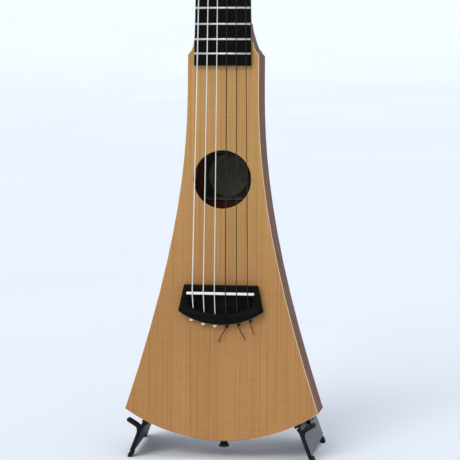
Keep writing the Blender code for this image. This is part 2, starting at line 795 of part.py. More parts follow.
def make_feet(stand, frame, label, side, rubber):
    """Front and rear rubber feet, in line with the leg but cut level with the floor."""
    for place, length in FOOT_LENGTHS.items():
        y = STAND_FRONT + length / 2 if place == "front" else STAND_BACK - length / 2
        edge = floor_z(y) + FOOT_HEIGHT
        middle = frame.matrix_world @ Vector((side * splayed(leg_x(edge), y, edge), y, edge))
        top = FOOT_HEIGHT - 0.0012
        rings = []
        for height in (0, top):
            inward = side * math.tan(STAND_INCLINE) * (height - FOOT_HEIGHT)
            x = middle.x - inward
            corners = ((-1, -1), (1, -1), (1, 1), (-1, 1))
            ring = [(x + a * FOOT_HALF_WIDTH, middle.y + b * length / 2, height) for a, b in corners]
            rings.append(ring)
        foot = loft(f"{label}_{place}_foot", rings)
        bevel(foot, 0.0009)
        finish_object(foot, stand, rubber)


def make_hinge(frame, steel):
    """The bolt that both legs turn on, and its hexagon nut."""
    front = BODY_DEPTH + 0.0007
    shoulder = STAND_MIDDLE - 0.0004
    nut_start = STAND_BACK + 0.0004
    nut_end = nut_start + 0.0036
    end = nut_end + 0.0012
    profile = [
        (0, -front),
        (0.0058, -front),
        (0.0066, -front - 0.0008),
        (0.0066, -shoulder),
        (HINGE_PIN_RADIUS, -shoulder),
        (HINGE_PIN_RADIUS, -end),
        (0, -end),
    ]
    pin = turned("hinge_pin", profile, steps=20)
    pin.location = (0, 0, HINGE_Z)
    pin.rotation_euler = (math.pi / 2, 0, 0)
    finish_object(pin, frame, steel)
    nut = cylinder("hinge_nut", 0.0064, (0, nut_start, HINGE_Z), (0, nut_end, HINGE_Z), segments=6)
    bore = cylinder("hinge_nut_bore", HINGE_PIN_RADIUS + GAP, (0, 0.08, HINGE_Z), (0, 0.11, HINGE_Z))
    boolean(nut, make_helper(bore, frame))
    finish_object(nut, frame, steel)


def main():
    clear_scene()
    new_collection(COLLECTION)
    new_collection("cutters")
    woods = {
        "spruce": new_material("spruce", (0.40, 0.23, 0.11), 0.45),
        "mahogany": new_material("mahogany", (0.17, 0.075, 0.04), 0.45),
        "black": new_material("ebonised", (0.012, 0.011, 0.013), 0.5),
    }
    bone = new_material("bone", (0.80, 0.76, 0.66), 0.4)
    nickel = new_material("nickel", (0.62, 0.60, 0.56), 0.3, metallic=1.0)
    wound = new_material("wound_string", (0.60, 0.58, 0.55), 0.35, metallic=1.0)
    nylon = new_material("nylon_string", (0.10, 0.045, 0.03), 0.35)
    pearl = new_material("knob_plastic", (0.70, 0.66, 0.58), 0.35)
    steel = new_material("stand_plate", (0.15, 0.16, 0.17), 0.4, metallic=0.6)
    rubber = new_material("rubber", (0.014, 0.014, 0.016), 0.8)

    stand = new_empty("stand")
    place = (0, FRAME_Y, SADDLE_HEIGHT)
    frame = new_empty("leaned_frame", place, -LEAN, stand)
    guitar = new_empty("guitar", place, -LEAN, stand)
    head = new_empty("headstock", (0, 0, HEAD_BASE), -HEAD_TILT, guitar)
    bpy.context.view_layer.update()

    make_body(guitar, woods)
    make_neck(guitar, head, woods["mahogany"])
    make_fretboard(guitar, woods["black"], nickel, bone)
    make_bridge(guitar, woods["black"], bone)
    make_strings(guitar, wound, nylon)
    make_tuners(head, nickel, pearl)
    make_leg(frame, "left", -1, (1, 3), steel, rubber)
    make_leg(frame, "right", 1, (2,), steel, rubber)
    make_feet(stand, frame, "left", -1, rubber)
    make_feet(stand, frame, "right", 1, rubber)
    make_hinge(frame, steel)


main()
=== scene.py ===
"""The looks of the guitar on its stand: materials, fine pieces, studio and camera."""

import json
import math

import bmesh
import bpy
from mathutils import Matrix, Vector
from mathutils.geometry import interpolate_bezier


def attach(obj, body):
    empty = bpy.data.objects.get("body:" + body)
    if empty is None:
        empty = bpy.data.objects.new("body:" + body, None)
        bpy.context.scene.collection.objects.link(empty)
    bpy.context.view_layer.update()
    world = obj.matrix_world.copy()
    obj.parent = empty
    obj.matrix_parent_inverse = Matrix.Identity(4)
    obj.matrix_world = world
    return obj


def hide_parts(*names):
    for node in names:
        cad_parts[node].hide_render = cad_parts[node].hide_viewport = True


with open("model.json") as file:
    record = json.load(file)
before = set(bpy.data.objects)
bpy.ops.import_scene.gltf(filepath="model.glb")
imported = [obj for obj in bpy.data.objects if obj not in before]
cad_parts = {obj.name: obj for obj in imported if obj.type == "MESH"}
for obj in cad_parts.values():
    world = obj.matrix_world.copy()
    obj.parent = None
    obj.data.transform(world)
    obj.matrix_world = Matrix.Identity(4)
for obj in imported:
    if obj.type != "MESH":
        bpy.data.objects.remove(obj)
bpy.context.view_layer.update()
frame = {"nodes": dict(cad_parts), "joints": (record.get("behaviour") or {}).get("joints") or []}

# The leaned frame of the guitar: x across, y from the soundboard into the body, z up the neck.
FOLD = next(joint for joint in frame["joints"] if joint["name"] == "right_leg_fold")
LIFT = next(joint for joint in frame["joints"] if joint["name"] == "guitar_lift")
INTO = Vector(FOLD["axis"]).normalized()
UP = Vector(LIFT["axis"]).normalized()
LEAN = math.atan2(UP.y, UP.z)
HINGE_DEPTH = 0.074
HINGE_Z = -0.022
ORIGIN = Vector(FOLD["pos_m"]) - HINGE_DEPTH * INTO - HINGE_Z * UP
GUITAR = Matrix.Translation(ORIGIN) @ Matrix.Rotation(-LEAN, 4, "X")

# Sizes of the guitar in that frame, in metres, with the saddle at z = 0 and the soundboard at y = 0.
SCALE_LENGTH = 0.6096
NUT_LENGTH = 0.0050
STRING_OFF_NUT = SCALE_LENGTH + 0.0038
NUT_HALF = 0.0245
BOARD_END = 0.2435
BOARD_END_HALF = 0.0307
BODY_TOP = 0.2880
SIDES_TOP = 0.2620
BODY_DEPTH = 0.0500
PLATE_THICKNESS = 0.0025
SIDE_CURVE = ((0.1054, -0.1278), (0.0327, 0.0908), (0.0389, 0.1824), (0.0384, 0.2530))
SHOULDER_CURVE = ((0.0366, 0.2572), (0.0325, 0.2615), (0.0308, 0.2700), (0.0305, BODY_TOP))
LABEL_Z = 0.1255
# FORK_Z and CRADLE_BACK also bound the painted shade on the stand plates: above the fork and in front of
# CRADLE_BACK, under the guitar.
FORK_Z = -0.1490
CRADLE_BACK = 0.0790
HEEL_DEPTH = 0.0498
NECK_EDGE = 0.0012
GAP = 0.0003

# The soundboard's edges within HOLE_SIDE of the middle take painted shade, dark where the soundhole's cut
# edge lies in shade, and its front takes painted shade, darker from the top of the body down to the height
# below.
HOLE_SIDE = 0.0318
HOLE_RIM_SHADE = (0.10, 0.05, 0.025)
SHADE_DOWN_TO = -0.16

# The head, in its own tilted frame, which starts above the nut, with its posts and tuners.
HEAD_TILT = math.radians(12)
HEAD_BASE = SCALE_LENGTH + NUT_LENGTH
HEAD_THICKNESS = 0.0140
HEAD_LENGTH = 0.1120
POST_PLACES = ((0.0220, 0.0250), (0.0195, 0.0570), (0.0170, 0.0890))
POST_RADIUS = 0.0030
WORM_RISE = 0.0095
WORM_DEPTH = 0.0185
TUNER_PLATE_THICKNESS = 0.0012
TUNER_FACE = HEAD_THICKNESS + GAP + TUNER_PLATE_THICKNESS
TUNER_AXIS = 0.0140
HEAD = GUITAR @ Matrix.Translation((0, 0, HEAD_BASE)) @ Matrix.Rotation(-HEAD_TILT, 4, "X")

# The strings, from the left one to the right one, and what they pass over.
STRING_RADII = (0.00062, 0.00056, 0.00050, 0.00052, 0.00045, 0.00040)
SADDLE_TOP = 0.0110
SADDLE_HALF_THICKNESS = 0.0014
NUT_TOP = 0.0068
BRIDGE_ARC_RADIUS = 0.0822
BRIDGE_ARC_CENTRE = 0.0485
TIE_BLOCK_LENGTH = 0.0110
STRING_PITCH_SADDLE = 0.0120
STRING_PITCH_NUT = 0.00834
STRING_FAN = 1.06
HOLE_ENTRY_LIFT = 0.0060
HOLE_EXIT_LIFT = 0.0036
STUB_OUT = 0.0024
STUB_IN = 0.0008
SADDLE_WRAP_STEPS = 4
SADDLE_WRAP_DEGREES = 50
COIL_DEPTH = 0.0090
COIL_TURNS = 2
COIL_STEPS = 26 * COIL_TURNS

# The camera fitted to the photo: place in metres, turn in degrees, lens and sensor in millimetres.
CAMERA_PLACE = (0.3235, -2.0619, 0.5407)
CAMERA_TURN = (81.862, 0.353, 8.795)
CAMERA_LENS = 150.9
CAMERA_SENSOR = 36


# Making pieces


def link(obj, place, body, material, replaced=()):
    """Puts a new piece in place, on its body, with its material."""
    bpy.context.scene.collection.objects.link(obj)
    obj.matrix_world = place
    obj.data.materials.clear()
    obj.data.materials.append(material)
    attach(obj, body)
    if replaced:
        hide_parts(*replaced)
    return obj


def mesh_object(name, build, smooth_angle=40):
    """A smooth-shaded object from a function that fills an empty bmesh."""
    shape = bmesh.new()
    build(shape)
    bmesh.ops.recalc_face_normals(shape, faces=shape.faces)
    mesh = bpy.data.meshes.new(name)
    shape.to_mesh(mesh)
    shape.free()
    mesh.shade_smooth()
    mesh.set_sharp_from_angle(angle=math.radians(smooth_angle))
    return bpy.data.objects.new(name, mesh)


def add_ring(shape, points):
    return [shape.verts.new(point) for point in points]


def bridge_rings(shape, rings, closed_ends=True):
    """Joins rings of vertices, each to the next, and closes the two ends."""
    for lower, upper in zip(rings, rings[1:]):
        for index in range(len(lower)):
            after = (index + 1) % len(lower)
            shape.faces.new((lower[index], lower[after], upper[after], upper[index]))
    if closed_ends:
        shape.faces.new(rings[0])
        shape.faces.new(rings[-1])


def add_turned(shape, profile, steps=32, across=1.0, axis=Matrix.Identity(4)):
    """Turns (radius, height) pairs about Z; across flattens the result along Y."""
    rings = []
    for radius, height in profile:
        turns = [2 * math.pi * step / steps for step in range(steps)]
        points = [Vector((radius * math.cos(t), across * radius * math.sin(t), height)) for t in turns]
        rings.append(add_ring(shape, [axis @ point for point in points]))
    bridge_rings(shape, rings)


def path_curve(name, points, radius, resolution=3, smooth=False):
    """A round cord along points."""
    curve = bpy.data.curves.new(name, "CURVE")
    curve.dimensions = "3D"
    curve.bevel_depth = radius
    curve.bevel_resolution = resolution
    curve.use_fill_caps = True
    spline = curve.splines.new("NURBS" if smooth else "POLY")
    spline.points.add(len(points) - 1)
    for point, place in zip(spline.points, points):
        point.co = (*place, 1)
    if smooth:
        spline.order_u = 4
        spline.use_endpoint_u = True
        curve.resolution_u = 4
    return bpy.data.objects.new(name, curve)


def soften(obj, width, segments=3, angle=40):
    """Rounds an object's sharp edges, and keeps its large faces flat in their shading."""
    modifier = obj.modifiers.new("soft edges", "BEVEL")
    modifier.width = width
    modifier.segments = segments
    modifier.limit_method = "ANGLE"
    modifier.angle_limit = math.radians(angle)
    flat = obj.modifiers.new("flat faces", "WEIGHTED_NORMAL")
    flat.weight = 100
    flat.keep_sharp = True


def weld_node(name, angle=35):
    """Joins a CAD node's split corners, for shading and bevels, without moving any."""
    obj = frame["nodes"][name]
    weld = obj.modifiers.new("weld", "WELD")
    weld.merge_threshold = 0.000001
    obj.data.shade_smooth()
    obj.data.set_sharp_from_angle(angle=math.radians(angle))
    return obj


# Materials


class Look:
    """A Principled material under construction, with short ways to add nodes to it."""

    def __init__(self, name, colour, roughness, metallic=0.0, coat=0.0, specular=0.5):
        self.material = bpy.data.materials.new(name)
        self.material.use_nodes = True
        self.tree = self.material.node_tree
        self.shader = self.tree.nodes["Principled BSDF"]
        self.shader.inputs["Base Color"].default_value = (*colour, 1)
        self.shader.inputs["Roughness"].default_value = roughness
        self.shader.inputs["Metallic"].default_value = metallic
        self.shader.inputs["Coat Weight"].default_value = coat
        self.shader.inputs["Coat Roughness"].default_value = 0.2
        self.shader.inputs["Specular IOR Level"].default_value = specular
        self.material.diffuse_color = (*colour, 1)

    def node(self, kind, **settings):
        made = self.tree.nodes.new(kind)
        for key, value in settings.items():
            setattr(made, key, value)
        return made

    def join(self, output, target):
        self.tree.links.new(output, target)

    def coordinates(self, scale, leaned=True):
        """Object coordinates, straightened where the mesh leans, and stretched by scale per metre."""
        where = self.node("ShaderNodeTexCoord").outputs["Object"]
        straight = self.node("ShaderNodeMapping")
        straight.inputs["Rotation"].default_value = (LEAN if leaned else 0.0, 0.0, 0.0)
        self.join(where, straight.inputs["Vector"])
        stretched = self.node("ShaderNodeMapping")
        stretched.inputs["Scale"].default_value = scale
        self.join(straight.outputs["Vector"], stretched.inputs["Vector"])
        return stretched.outputs["Vector"]

    def noise(self, scale, detail=4.0, roughness=0.5, distortion=0.0, leaned=True):
        made = self.node("ShaderNodeTexNoise")
        made.inputs["Scale"].default_value = 1.0
        made.inputs["Detail"].default_value = detail
        made.inputs["Roughness"].default_value = roughness
        made.inputs["Distortion"].default_value = distortion
        self.join(self.coordinates(scale, leaned), made.inputs["Vector"])
        return made.outputs["Fac"]

    def ramp(self, value, stops):
        """A colour or grey ramp over (place, colour) stops."""
        made = self.node("ShaderNodeValToRGB")
        elements = made.color_ramp.elements
        while len(elements) < len(stops):
            elements.new(0.5)
        for element, (place, colour) in zip(elements, stops):
            element.position = place
            element.color = (*colour, 1) if isinstance(colour, tuple) else (colour, colour, colour, 1)
        self.join(value, made.inputs["Fac"])
        return made.outputs["Color"]

    def mix(self, factor, first, second, blend="MIX"):
        made = self.node("ShaderNodeMix", data_type="RGBA", blend_type=blend)
        sockets = {s.name: s for s in made.inputs if s.type == "RGBA"}
        for value, socket in ((first, sockets["A"]), (second, sockets["B"])):
            if isinstance(value, tuple):
                socket.default_value = (*value, 1)
            else:
                self.join(value, socket)
        if isinstance(factor, float):
            made.inputs[0].default_value = factor
        else:
            self.join(factor, made.inputs[0])
        return next(s for s in made.outputs if s.type == "RGBA")

    def math(self, operation, first, second):
        made = self.node("ShaderNodeMath", operation=operation)
        for value, socket in ((first, made.inputs[0]), (second, made.inputs[1])):
            if isinstance(value, float):
                socket.default_value = value
            else:
                self.join(value, socket)
        return made.outputs["Value"]

    def colour(self, output):
        self.join(output, self.shader.inputs["Base Color"])

    def rough(self, value, low, high):
        made = self.node("ShaderNodeMapRange")
        made.inputs["To Min"].default_value = low
        made.inputs["To Max"].default_value = high
        self.join(value, made.inputs["Value"])
        self.join(made.outputs["Result"], self.shader.inputs["Roughness"])

    def bump(self, height, distance, strength=1.0):
        made = self.node("ShaderNodeBump")
        made.inputs["Strength"].default_value = strength
        made.inputs["Distance"].default_value = distance
        self.join(height, made.inputs["Height"])
        self.join(made.outputs["Normal"], self.shader.inputs["Normal"])

    def share(self, axis, low, high):
        """How far a point is along an axis of the guitar's leaned frame, from 0 at low to 1 at high."""
        split = self.node("ShaderNodeSeparateXYZ")
        self.join(self.coordinates((1, 1, 1)), split.inputs[0])
        start = {"X": 0.0, "Y": ORIGIN.dot(INTO), "Z": ORIGIN.dot(UP)}[axis]
        made = self.node("ShaderNodeMapRange")
        made.inputs["From Min"].default_value = start + low
        made.inputs["From Max"].default_value = start + high
        self.join(split.outputs[axis], made.inputs["Value"])
        return made.outputs["Result"]

    def facing(self, direction, low, high):
        """A mask of the faces that look along a direction, in the object's own frame."""
        where = self.node("ShaderNodeTexCoord").outputs["Normal"]
        dot = self.node("ShaderNodeVectorMath", operation="DOT_PRODUCT")
        self.join(where, dot.inputs[0])
        dot.inputs[1].default_value = direction
        made = self.node("ShaderNodeMapRange")
        made.inputs["From Min"].default_value = low
        made.inputs["From Max"].default_value = high
        self.join(dot.outputs["Value"], made.inputs["Value"])
        return made.outputs["Result"]


def paint_top_shade(look, grain, edge_and_highlight_colour):
    """Painted shade on the soundboard: browner and darker towards the bottom, and dark edges at the
    soundhole, where its cut edge lies in shade.
    """
    low, middle, high = (0.81, 0.74, 0.75), (0.93, 0.93, 0.96), (1.0, 1.0, 1.0)
    # Painted shade: the front darkens from the top of the body downwards.
    height = look.share("Z", SHADE_DOWN_TO, BODY_TOP)
    tones = look.ramp(height, [(0.3, low), (0.65, middle), (1.0, high)])
    # Painted shade: the cut edges at the soundhole take a dark colour.
    right = look.share("X", HOLE_SIDE, HOLE_SIDE + GAP)
    left = look.share("X", -HOLE_SIDE, -HOLE_SIDE - GAP)
    edges = look.mix(look.math("ADD", right, left), HOLE_RIM_SHADE, edge_and_highlight_colour)
    return look.mix(1.0, grain, tones, "MULTIPLY"), edges


# The default edge colour is the spruce end grain's lighter colour, made brighter as a painted highlight
# along the soundboard's edges.
def spruce_look(name, leaned=True, edge_and_highlight_colour=(0.95, 0.78, 0.52), painted_shade=False):
    """Straight-grained top wood: fine upright lines, cross silk, broad warm bands, and its own edge colour,
    by default lighter end grain that is partly a painted highlight.
    """
    look = Look(name, (0.54, 0.32, 0.12), 0.50, specular=0.22)
    lines = look.noise((760, 60, 4.0), detail=3.0, roughness=0.6, leaned=leaned)
    bands = look.noise((48, 10, 1.2), detail=2.0, leaned=leaned)
    silk = look.noise((38, 30, 480), detail=4.0, roughness=0.7, distortion=0.3, leaned=leaned)
    cloud = look.noise((9, 9, 5), detail=2.0, leaned=leaned)
    light, middle, dark = (0.640, 0.365, 0.132), (0.585, 0.320, 0.108), (0.510, 0.262, 0.080)
    grain = look.ramp(lines, [(0.30, dark), (0.50, middle), (0.72, light)])
    broad = look.ramp(bands, [(0.30, (0.88, 0.84, 0.78)), (0.70, (1.0, 1.0, 1.0))])
    grain = look.mix(0.3, grain, broad, "MULTIPLY")
    cross = look.ramp(silk, [(0.34, (0.84, 0.80, 0.74)), (0.66, (1.0, 1.0, 1.0))])
    grain = look.mix(0.5, grain, cross, "MULTIPLY")
    patches = look.ramp(cloud, [(0.30, 0.90), (0.70, 1.0)])
    grain = look.mix(0.6, grain, patches, "MULTIPLY")
    # Painted shade on the soundboard: darker towards the bottom and at the soundhole's cut edges.
    if painted_shade:
        grain, edge_and_highlight_colour = paint_top_shade(look, grain, edge_and_highlight_colour)
    # Faces that don't look to the front take the edge colour: on the soundboard, lighter end grain that is
    # partly a painted highlight.
    front = -INTO if leaned else Vector((0, -1, 0))
    on_front = look.facing(front, 0.82, 0.985)
    look.colour(look.mix(on_front, edge_and_highlight_colour, grain))
    look.rough(lines, 0.44, 0.58)
    look.bump(lines, 0.00005, 0.3)
    return look.material


def mahogany_look(name, leaned=True, inside=None):
    """Reddish brown wood with short dark pores and a faint ribbon figure.

    Faces that look along inside get painted shade and are darker, as within the body.
    """
    look = Look(name, (0.20, 0.085, 0.050), 0.60, specular=0.10)
    pores = look.noise((1300, 1300, 45), detail=2.0, roughness=0.6, leaned=leaned)
    figure = look.noise((55, 55, 5), detail=3.0, distortion=0.4, leaned=leaned)
    cloud = look.noise((14, 14, 8), detail=2.0, leaned=leaned)
    deep, middle, pale = (0.165, 0.064, 0.036), (0.235, 0.102, 0.060), (0.310, 0.148, 0.090)
    tone = look.ramp(figure, [(0.30, deep), (0.55, middle), (0.78, pale)])
    dark_pores = look.ramp(pores, [(0.34, 0.42), (0.46, 1.0)])
    tone = look.mix(0.75, tone, dark_pores, "MULTIPLY")
    shade = look.ramp(cloud, [(0.30, 0.82), (0.70, 1.0)])
    tone = look.mix(0.6, tone, shade, "MULTIPLY")
    if inside:
        # Painted shade on the faces within the body.
        inside_shade = look.mix(1.0, tone, (0.48, 0.30, 0.24), "MULTIPLY")
        tone = look.mix(look.facing(inside, 0.70, 0.97), tone, inside_shade)
    look.colour(tone)
    look.rough(pores, 0.72, 0.54)
    look.bump(pores, 0.00008, 0.4)
    return look.material


def black_wood_look(name, leaned=True):
    look = Look(name, (0.004, 0.004, 0.004), 0.50, specular=0.06)
    pores = look.noise((900, 900, 30), detail=2.0, leaned=leaned)
    smear = look.noise((60, 60, 25), detail=3.0, leaned=leaned)
    tone = look.ramp(pores, [(0.34, (0.0015, 0.0015, 0.0015)), (0.50, (0.0035, 0.0035, 0.0036))])
    streak = look.ramp(smear, [(0.30, (0.0025, 0.0025, 0.0026)), (0.75, (0.0060, 0.0060, 0.0064))])
    look.colour(look.mix(0.4, tone, streak))
    look.rough(smear, 0.44, 0.62)
    look.bump(pores, 0.00008, 0.35)
    return look.material


def bone_look():
    look = Look("polished_bone", (0.80, 0.77, 0.69), 0.30, coat=0.2)
    cloud = look.noise((420, 420, 160), detail=4.0)
    look.colour(look.ramp(cloud, [(0.30, (0.80, 0.76, 0.62)), (0.65, (0.94, 0.92, 0.82))]))
    look.rough(cloud, 0.24, 0.38)
    look.bump(cloud, 0.00003, 0.3)
    return look.material


def metal_look(name, colour, roughness):
    look = Look(name, colour, roughness, metallic=1.0)
    wear = look.noise((900, 900, 900), detail=3.0)
    tint = look.noise((70, 70, 70), detail=2.0)
    dull = tuple(channel * 0.78 for channel in colour)
    look.colour(look.mix(look.ramp(tint, [(0.35, 0.0), (0.70, 1.0)]), dull, colour))
    look.rough(wear, roughness * 0.75, roughness * 1.35)
    look.bump(wear, 0.00002, 0.25)
    return look.material


def wound_look():
    """Silver-plated winding: fine rings along the string."""
    look = Look("silver_winding", (0.92, 0.89, 0.82), 0.40, metallic=0.3)
    rings = look.node("ShaderNodeTexWave", wave_type="BANDS", bands_direction="Z")
    rings.inputs["Scale"].default_value = 1.0
    look.join(look.coordinates((0, 0, 1500), leaned=False), rings.inputs["Vector"])
    tarnish = look.noise((300, 300, 40), detail=3.0, leaned=False)
    look.colour(look.ramp(tarnish, [(0.30, (0.82, 0.77, 0.67)), (0.65, (0.95, 0.93, 0.88))]))
    look.rough(tarnish, 0.42, 0.26)
    look.bump(rings.outputs["Fac"], 0.00006, 0.5)
    return look.material


def nylon_look():
    look = Look("dark_nylon", (0.018, 0.013, 0.012), 0.35, specular=0.3)
    cloud = look.noise((260, 260, 30), detail=2.0, leaned=False)
    look.colour(look.ramp(cloud, [(0.30, (0.012, 0.009, 0.008)), (0.70, (0.026, 0.018, 0.016))]))
    look.rough(cloud, 0.28, 0.42)
    return look.material


def bead_look():
    look = Look("cream_bead", (0.84, 0.79, 0.66), 0.32, coat=0.3)
    cloud = look.noise((700, 700, 700), detail=3.0, leaned=False)
    look.colour(look.ramp(cloud, [(0.35, (0.86, 0.77, 0.54)), (0.60, (0.97, 0.92, 0.74))]))
    look.bump(cloud, 0.00004, 0.4)
    return look.material


def plate_look(label, side):
    """A stand plate of near-black satin: its outward side painted grey with upright brushing as a painted
    sheen, its edges near black, and its inner side and the cradle under the guitar near black as painted
    shade.
    """
    look = Look(f"{label}_stand_satin_and_painted_light", (0.020, 0.021, 0.024), 0.40, specular=0.14)
    streaks = look.noise((420, 420, 26), detail=5.0, roughness=0.75, distortion=0.25)
    smudge = look.noise((60, 60, 30), detail=4.0, roughness=0.6, distortion=0.8)
    # Painted sheen: the grey on the outward side stands in for light that the near-black satin reflects.
    grey = look.ramp(streaks, [(0.36, (0.058, 0.066, 0.078)), (0.64, (0.235, 0.252, 0.275))])
    haze = look.ramp(smudge, [(0.35, 0.72), (0.70, 1.0)])
    face = look.mix(0.7, grey, haze, "MULTIPLY")
    black_and_shade = look.ramp(smudge, [(0.35, (0.005, 0.005, 0.006)), (0.75, (0.014, 0.014, 0.016))])
    # Painted shade: the plate under the guitar, above the fork and in front of CRADLE_BACK, takes the
    # near-black colour.
    above_fork = look.share("Z", FORK_Z + 0.003, FORK_Z + 0.004)
    at_front = look.share("Y", CRADLE_BACK + 0.001, CRADLE_BACK)
    face = look.mix(look.math("MULTIPLY", above_fork, at_front), face, black_and_shade)
    # Lit and shaded by side: only faces that look outwards get the grey painted sheen; the rest stay near
    # black, partly the plate's own colour and partly painted shade.
    look.colour(look.mix(look.facing((side, 0, 0), 0.72, 0.86), black_and_shade, face))
    look.rough(streaks, 0.34, 0.52)
    look.bump(streaks, 0.00008, 0.3)
    return look.material


def rubber_look():
    look = Look("black_rubber", (0.010, 0.010, 0.011), 0.72, specular=0.2)
    grit = look.noise((1500, 1500, 1500), detail=3.0)
    dust = look.noise((120, 120, 120), detail=4.0)
    look.colour(look.ramp(dust, [(0.40, (0.006, 0.006, 0.007)), (0.75, (0.016, 0.016, 0.017))]))
    look.rough(dust, 0.60, 0.82)
    look.bump(grit, 0.00008, 0.5)
    return look.material


def moulded_look(name, colour, roughness):
    look = Look(name, colour, roughness, coat=0.3)
    cloud = look.noise((220, 220, 220), detail=3.0, leaned=False)
    low = tuple(channel * 0.75 for channel in colour)
    look.colour(look.mix(look.ramp(cloud, [(0.35, 0.0), (0.65, 1.0)]), low, colour))
    look.rough(cloud, roughness * 0.8, roughness * 1.25)
    look.bump(cloud, 0.00003, 0.3)
    return look.material


def paper_look(name, colour):
    """Aged printed paper, without lettering."""
    look = Look(name, colour, 0.85, specular=0.1)
    fibres = look.noise((900, 900, 900), detail=4.0, leaned=False)
    stain = look.noise((160, 160, 160), detail=3.0, leaned=False)
    dark = tuple(channel * 0.70 for channel in colour)
    paper = look.mix(look.ramp(stain, [(0.35, 0.0), (0.65, 1.0)]), dark, colour)
    look.colour(look.mix(0.6, paper, look.ramp(fibres, [(0.35, 0.80), (0.60, 1.0)]), "MULTIPLY"))
    look.bump(fibres, 0.00005, 0.4)
    return look.material


def studio_look(name, colour, roughness):
    look = Look(name, colour, roughness)
    cloud = look.noise((1.5, 1.5, 1.5), detail=3.0, leaned=False)
    low = tuple(channel * 0.97 for channel in colour)
    look.colour(look.mix(look.ramp(cloud, [(0.35, 0.0), (0.65, 1.0)]), low, colour))
    return look.material


# The guitar


def curve_half(z, corners):
    """Half the body's width at a height, where its outline follows a cubic curve upwards."""
    low, high = 0.0, 1.0
    for _ in range(30):
        t = (low + high) / 2
        height = cubic(t, [corner[1] for corner in corners])
        low, high = (t, high) if height < z else (low, t)
    return cubic(low, [corner[0] for corner in corners])


def cubic(t, values):
    s = 1 - t
    return sum(w * v for w, v in zip((s**3, 3 * s * s * t, 3 * s * t * t, t**3), values))


def board_half(z):
    share = (z - BOARD_END) / (SCALE_LENGTH - BOARD_END)
    return BOARD_END_HALF + (NUT_HALF - BOARD_END_HALF) * share


def blend_rows(rows, count):
    """Rows of numbers joined by a smooth curve through them (Catmull-Rom)."""
    out = []
    for index in range(len(rows) - 1):
        before = rows[max(index - 1, 0)]
        start, end = rows[index], rows[index + 1]
        after = rows[min(index + 2, len(rows) - 1)]
        for step in range(count):
            t = step / count
            row = []
            for p0, p1, p2, p3 in zip(before, start, end, after):
                pull = 2 * p1 + (p2 - p0) * t + (2 * p0 - 5 * p1 + 4 * p2 - p3) * t * t
                row.append((pull + (3 * p1 - p0 - 3 * p2 + p3) * t**3) / 2)
            out.append(row)
    return out + [list(rows[-1])]


def neck_ring(z, half_width, front, back, power, steps=30):
    """A D-shaped section of the neck, flat under the fretboard, and squarer with a higher power."""
    ring = []
    for step in range(steps + 1):
        angle = math.pi * step / steps
        across = math.copysign(abs(math.cos(angle)) ** (2 / power), math.cos(angle))
        deep = math.sin(angle) ** (2 / power)
        ring.append((half_width * across, front + NECK_EDGE + (back - front - NECK_EDGE) * deep, z))
    ring.append((-half_width, front, z))
    ring.append((half_width, front, z))
    return ring


def make_neck(mahogany):
    """The neck's shaft, and its heel, which reaches under the soundboard's top.

    Each row is a section: its height, how deep its back lies, and how square it is.
    """
    heel = (
        (SIDES_TOP + GAP, HEEL_DEPTH, 14),
        (0.2680, 0.0482, 9),
        (0.2735, 0.0420, 7),
        (0.2790, 0.0335, 5),
        (0.2840, 0.0275, 3.8),
        (BODY_TOP + GAP, 0.0245, 2.8),
    )
    shaft = (
        (BODY_TOP + 2 * GAP, 0.0244, 2.8),
        (0.2960, 0.0230, 2.5),
        (0.3100, 0.0220, 2.3),
        (0.3400, 0.0215, 2.3),
        (0.4600, 0.0208, 2.2),
        (0.5700, 0.0192, 2.2),
        (HEAD_BASE - 0.0120, 0.0186, 2.2),
        (HEAD_BASE, 0.0188, 2.5),
    )

    def build(shape):
        rings = []
        for z, back, power in blend_rows(heel, 6):
            half = curve_half(z, SHOULDER_CURVE)
            rings.append(neck_ring(z, half, PLATE_THICKNESS + GAP, min(back, HEEL_DEPTH), power))
        for z, back, power in blend_rows(shaft, 8):
            rings.append(neck_ring(z, board_half(z) - 0.0002, 0, back, power))
        rings.append(neck_ring(HEAD_BASE + 0.002, NUT_HALF - 0.0015, 0.0016, 0.0185, 2.7))
        rings.append(neck_ring(HEAD_BASE + 0.015, 0.0200, 0.0042, 0.0168, 3.0))
        bridge_rings(shape, [add_ring(shape, ring) for ring in rings])

    shaft_piece = mesh_object("neck_shaft", build)
    link(shaft_piece, GUITAR, "guitar", mahogany, replaced=("neck",))
    make_head_paddle(mahogany)


def bezier(corners, count):
    return [(p.x, p.y) for p in interpolate_bezier(*(Vector(c) for c in corners), count)][1:]


def head_outline():
    half = [(0.0240, 0.0004), (0.0243, 0.0050)]
    half += bezier((half[-1], (0.0250, 0.0110), (0.0330, 0.0080), (0.0335, 0.0170)), 16)
    half += bezier((half[-1], (0.0335, 0.0400), (0.0270, 0.0700), (0.0268, 0.1010)), 16)
    half += bezier((half[-1], (0.0267, 0.1110), (0.0160, HEAD_LENGTH), (0, HEAD_LENGTH)), 16)
    return half + [(-x, z) for x, z in reversed(half[:-1])]


def add_slab(shape, outline, front, back):
    near = add_ring(shape, [(x, front, z) for x, z in outline])
    far = add_ring(shape, [(x, back, z) for x, z in outline])
    bridge_rings(shape, [near, far])


